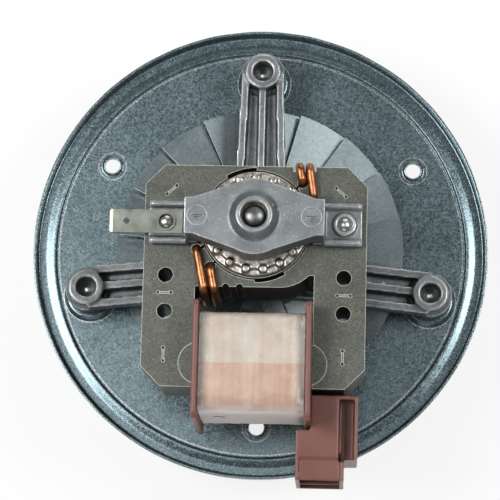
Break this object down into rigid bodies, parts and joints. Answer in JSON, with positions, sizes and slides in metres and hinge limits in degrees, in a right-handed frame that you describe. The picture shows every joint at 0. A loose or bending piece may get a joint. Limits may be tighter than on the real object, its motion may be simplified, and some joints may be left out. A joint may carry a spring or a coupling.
{
  "type": "oven fan motor",
  "caption": "Shaded-pole oven fan motor on a round flanged steel plate, with a cast bracket, a finned cooling fan, a film-wrapped coil and a plug-in connector.",
  "frame": {"origin": "centre of the mounting hole circle, on the shaft axis at the plate's hot face", "axes": "+Z along the shaft from the plate to the motor; +X towards the side of the connector; +Y away from the coil"},
  "size_m": [0.13, 0.1332, 0.0893],
  "materials": {
    "galvanised_sheet": "zinc-coated sheet with a fine spangle",
    "fan_sheet": "zinc-coated sheet, bright cut edges",
    "plated_steel": "zinc plated",
    "shaft_steel": "ground steel",
    "bracket_casting": "die-cast zinc alloy, matte grey",
    "bridge_casting": "die-cast, blasted",
    "lamination": "silicon steel sheet, matte",
    "cage_aluminium": "cast, bright",
    "sintered_bronze": "oil-soaked sintered bronze",
    "oil_felt": "felt",
    "brown_moulding": "glass-filled polyester, satin",
    "coil_film": "clear film over the winding",
    "copper_wire": "enamelled copper wire",
    "bare_copper": "bare drawn copper",
    "tinned_brass": "tinned"
  },
  "bodies": {
    "motor": {"mounting_plate": "galvanised_sheet", "plate_screws": "plated_steel", "motor_bracket": "bracket_casting", "rear_bearing": "sintered_bronze", "rear_bearing_clip": "plated_steel", "rear_oil_felt": "oil_felt", "stator_stack": "lamination", "core_bar": "lamination", "coil_bobbin": "brown_moulding", "coil_winding": "copper_wire", "coil_film": "coil_film", "connector_housing": "brown_moulding", "connector_contacts": "tinned_brass", "shading_ring_upper_inner": "bare_copper", "shading_ring_upper_outer": "bare_copper", "shading_ring_lower_inner": "bare_copper", "shading_ring_lower_outer": "bare_copper", "front_bridge": "bridge_casting", "front_bearing": "sintered_bronze", "front_bearing_clip": "plated_steel", "front_oil_felt": "oil_felt", "earth_terminal": "tinned_brass", "stator_screws": "plated_steel"},
    "rotor": {"motor_shaft": "shaft_steel", "rotor_core": "lamination", "rotor_cage": "cage_aluminium", "rear_thrust_washer": "plated_steel", "front_thrust_washer": "plated_steel", "cooling_fan": "fan_sheet", "fan_collar": "plated_steel"}
  },
  "joints": [
    {"name": "rotor_spin", "type": "hinge", "parent": "motor", "child": "rotor", "pos_m": [0, 0, 0.03], "axis": [0, 0, 1], "continuous": true}
  ]
}
